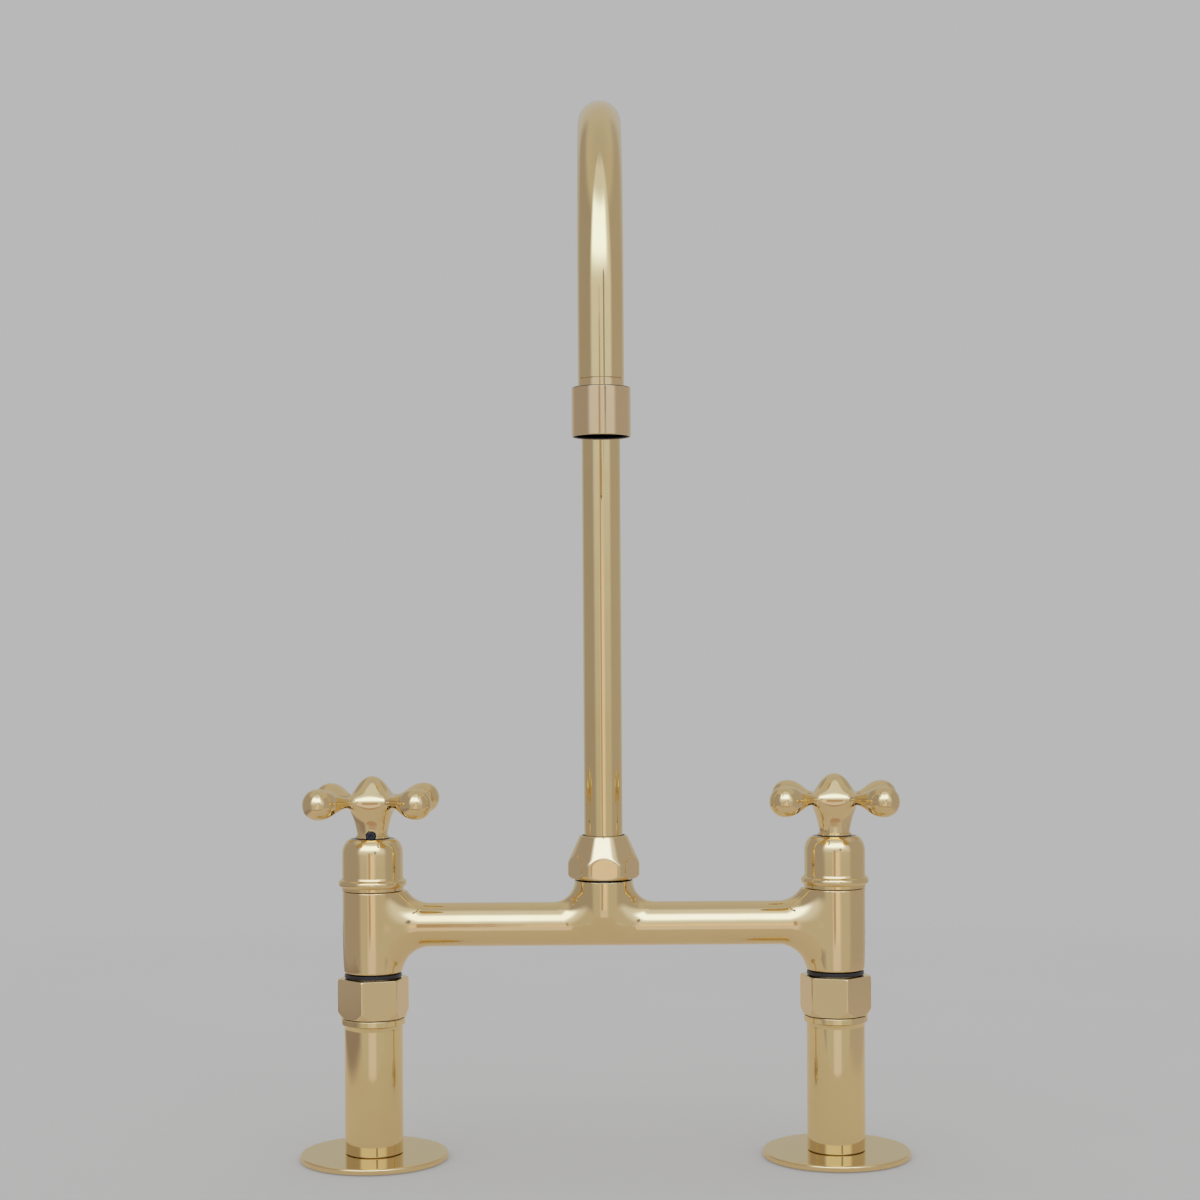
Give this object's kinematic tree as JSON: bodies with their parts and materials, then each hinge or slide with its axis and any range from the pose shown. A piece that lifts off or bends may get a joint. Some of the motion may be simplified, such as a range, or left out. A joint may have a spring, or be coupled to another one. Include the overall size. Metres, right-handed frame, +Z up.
{
  "type": "bridge kitchen faucet",
  "caption": "Deck-mounted bridge kitchen faucet in polished brass, with cross handles on both posts and a tall swivelling gooseneck spout.",
  "frame": {"origin": "on the deck plane, under the middle of the faucet's outline seen from above", "axes": "+Z up from the deck, +X along the bridge to the right-hand valve, -Y forward to the outlet"},
  "size_m": [0.268, 0.2006, 0.441],
  "materials": {
    "polished_brass": "polished, unlacquered",
    "machined_brass": "fine turned",
    "black_rubber": "matt",
    "dark_nylon": "satin",
    "white_plastic": "satin",
    "ceramic": "lapped",
    "steel": "bright"
  },
  "bodies": {
    "base": {"left_deck_flange": "polished_brass", "left_post": "polished_brass", "left_union_tail": "machined_brass", "left_union_nut": "polished_brass", "left_union_washer": "black_rubber", "left_nut_seal_ring": "black_rubber", "left_bonnet": "polished_brass", "left_cartridge_body": "machined_brass", "left_seat_seal": "black_rubber", "left_fixed_disc": "ceramic", "right_deck_flange": "polished_brass", "right_post": "polished_brass", "right_union_tail": "machined_brass", "right_union_nut": "polished_brass", "right_union_washer": "black_rubber", "right_nut_seal_ring": "black_rubber", "right_bonnet": "polished_brass", "right_cartridge_body": "machined_brass", "right_seat_seal": "black_rubber", "right_fixed_disc": "ceramic", "bridge_body": "polished_brass", "spout_nut": "polished_brass", "spout_thrust_washer": "white_plastic", "spout_bush": "dark_nylon"},
    "left_valve": {"left_cross_handle": "polished_brass", "left_grub_screw": "steel", "left_spindle": "machined_brass", "left_moving_disc": "ceramic", "left_stem_o_ring": "black_rubber", "left_retaining_clip": "steel"},
    "right_valve": {"right_cross_handle": "polished_brass", "right_grub_screw": "steel", "right_spindle": "machined_brass", "right_moving_disc": "ceramic", "right_stem_o_ring": "black_rubber", "right_retaining_clip": "steel"},
    "spout": {"spout_tube": "polished_brass", "spout_stem": "machined_brass", "spout_o_ring_lower": "black_rubber", "spout_o_ring_upper": "black_rubber", "spout_end_ring": "polished_brass", "aerator_housing": "polished_brass", "aerator_washer": "black_rubber", "aerator_insert": "dark_nylon", "aerator_screen": "steel"}
  },
  "joints": [
    {"name": "left_handle_turn", "type": "hinge", "parent": "base", "child": "left_valve", "pos_m": [-0.1016, 0.06795, 0.1567], "axis": [0, 0, 1], "range_deg": [0, 90]},
    {"name": "right_handle_turn", "type": "hinge", "parent": "base", "child": "right_valve", "pos_m": [0.1016, 0.06795, 0.1567], "axis": [0, 0, 1], "range_deg": [-90, 0]},
    {"name": "spout_swivel", "type": "hinge", "parent": "base", "child": "spout", "pos_m": [0, 0.06795, 0.13], "axis": [0, 0, 1], "continuous": true}
  ]
}
